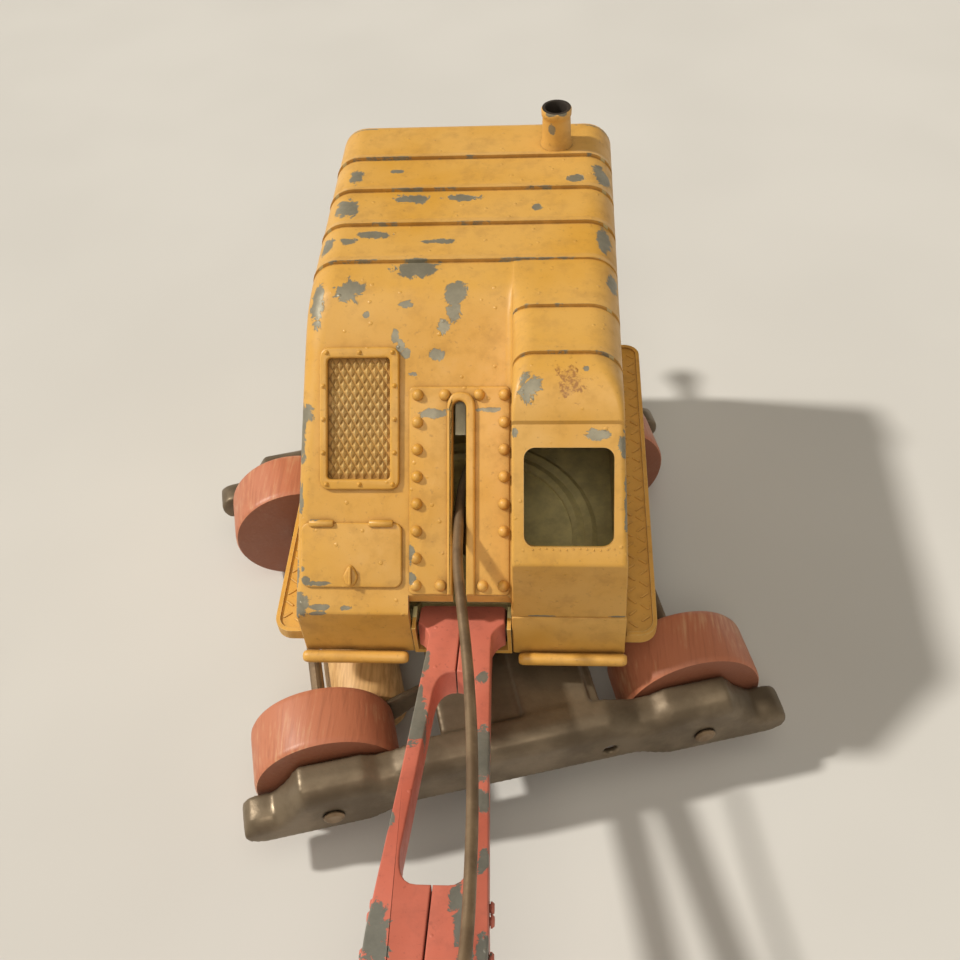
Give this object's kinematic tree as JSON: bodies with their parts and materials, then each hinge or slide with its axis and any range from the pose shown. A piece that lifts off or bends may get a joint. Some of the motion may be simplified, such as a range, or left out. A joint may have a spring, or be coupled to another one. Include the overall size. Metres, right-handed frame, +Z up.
{
  "type": "toy power shovel",
  "caption": "Die-cast toy power shovel: swinging house with cab, hinged boom, dipper with doored bucket and control rod, on a wheeled undercarriage.",
  "frame": {"origin": "middle of the bounding box at ground level, where the wheels stand", "axes": "+Z up, -Y forwards along the boom, +X to the right when facing the front of the cab"},
  "size_m": [0.1844, 0.3568, 0.1335],
  "materials": {
    "yellow_paint": "chipped orange-yellow enamel over die-cast zinc, worn to bare metal on edges",
    "red_paint": "faded red enamel over a die casting, worn on edges",
    "cast_grey": "brownish grey cast metal, tarnished, with soft gloss",
    "zinc": "bare dull zinc-plated metal",
    "steel": "tarnished brown-grey steel wire and pins",
    "red_wood": "turned wood with thin worn red paint, grain along the axle",
    "bare_wood": "bare turned hardwood, grain along the pin"
  },
  "bodies": {
    "undercarriage": {"chassis_casting": "cast_grey", "swing_washer": "steel", "king_pin": "steel", "king_pin_cap": "steel", "axle_left": "steel", "axle_right": "steel", "roller_pin": "steel"},
    "house": {"house_shell": "yellow_paint", "base_plate": "yellow_paint", "exhaust_stack": "yellow_paint", "step_bar_left": "yellow_paint", "step_bar_right": "yellow_paint", "floor_screw_1": "steel", "floor_screw_2": "steel", "floor_screw_3": "steel", "floor_screw_4": "steel", "boom_foot_pin": "steel", "crank_pin": "steel", "slot_keeper": "zinc"},
    "wheel_front_left": {"wheel_front_left": "red_wood"},
    "wheel_front_right": {"wheel_front_right": "red_wood"},
    "wheel_rear_left": {"wheel_rear_left": "red_wood"},
    "wheel_rear_right": {"wheel_rear_right": "red_wood"},
    "roller": {"idler_roller": "bare_wood"},
    "boom": {"boom_half_right": "red_paint", "boom_half_left": "red_paint", "boom_rivet_1": "red_paint", "boom_rivet_2": "red_paint", "boom_rivet_3": "red_paint", "dipper_pin": "steel", "sheave_pin": "steel"},
    "sheave": {"boom_sheave": "zinc"},
    "dipper": {"dipper_stick": "red_paint", "rod_stud": "steel", "bucket": "red_paint", "door_pin": "steel", "stick_bolt": "steel"},
    "bucket_door": {"bucket_door": "red_paint"},
    "bush": {"rod_bush": "steel"},
    "rod": {"control_rod": "steel"},
    "crank": {"crank_lever": "zinc", "lever_knob": "red_paint"}
  },
  "joints": [
    {"name": "swing", "type": "hinge", "parent": "undercarriage", "child": "house", "pos_m": [0, 0.04773, 0.04092], "axis": [0, 0, 1], "continuous": true},
    {"name": "wheel_front_left_spin", "type": "hinge", "parent": "undercarriage", "child": "wheel_front_left", "pos_m": [-0.04011, -0.0097, 0.02072], "axis": [-0.2522, 0.9677, 0], "continuous": true},
    {"name": "wheel_front_right_spin", "type": "hinge", "parent": "undercarriage", "child": "wheel_front_right", "pos_m": [0.06304, 0.01719, 0.02072], "axis": [-0.2522, 0.9677, 0], "continuous": true},
    {"name": "wheel_rear_left_spin", "type": "hinge", "parent": "undercarriage", "child": "wheel_rear_left", "pos_m": [-0.06304, 0.07826, 0.02072], "axis": [-0.2522, 0.9677, 0], "continuous": true},
    {"name": "wheel_rear_right_spin", "type": "hinge", "parent": "undercarriage", "child": "wheel_rear_right", "pos_m": [0.04011, 0.10515, 0.02072], "axis": [-0.2522, 0.9677, 0], "continuous": true},
    {"name": "roller_spin", "type": "hinge", "parent": "undercarriage", "child": "roller", "pos_m": [-0.03851, 0.03769, 0.01312], "axis": [-0.2522, 0.9677, 0], "continuous": true},
    {"name": "boom_hoist", "type": "hinge", "parent": "house", "child": "boom", "pos_m": [0, 0.01363, 0.05032], "axis": [-1, 0, 0], "range_deg": [0, 20]},
    {"name": "sheave_spin", "type": "hinge", "parent": "boom", "child": "sheave", "pos_m": [0, -0.16604, 0.09846], "axis": [1, 0, 0], "continuous": true},
    {"name": "dipper_swing", "type": "hinge", "parent": "boom", "child": "dipper", "pos_m": [0, -0.12837, 0.08837], "axis": [1, 0, 0], "range_deg": [-35, 35]},
    {"name": "bucket_door_swing", "type": "hinge", "parent": "dipper", "child": "bucket_door", "pos_m": [0, -0.13934, 0.03004], "axis": [1, 0, 0], "range_deg": [0, 80]},
    {"name": "bush_turn", "type": "hinge", "parent": "dipper", "child": "bush", "pos_m": [0.0043, -0.12602, 0.10166], "axis": [1, 0, 0], "range_deg": [-35, 35]},
    {"name": "rod_turn", "type": "hinge", "parent": "bush", "child": "rod", "pos_m": [0.0043, -0.12602, 0.10166], "axis": [-1, 0, 0], "range_deg": [-5, 0]},
    {"name": "crank_turn", "type": "hinge", "parent": "house", "child": "crank", "pos_m": [0, 0.07213, 0.09692], "axis": [1, 0, 0], "range_deg": [-17, 17]}
  ],
  "couplings": [
    {"joint": "bush_turn", "follows": "dipper_swing", "ratio": -1},
    {"joint": "rod_turn", "follows": "boom_hoist", "ratio": -0.25},
    {"joint": "crank_turn", "follows": "dipper_swing", "ratio": -0.48}
  ]
}
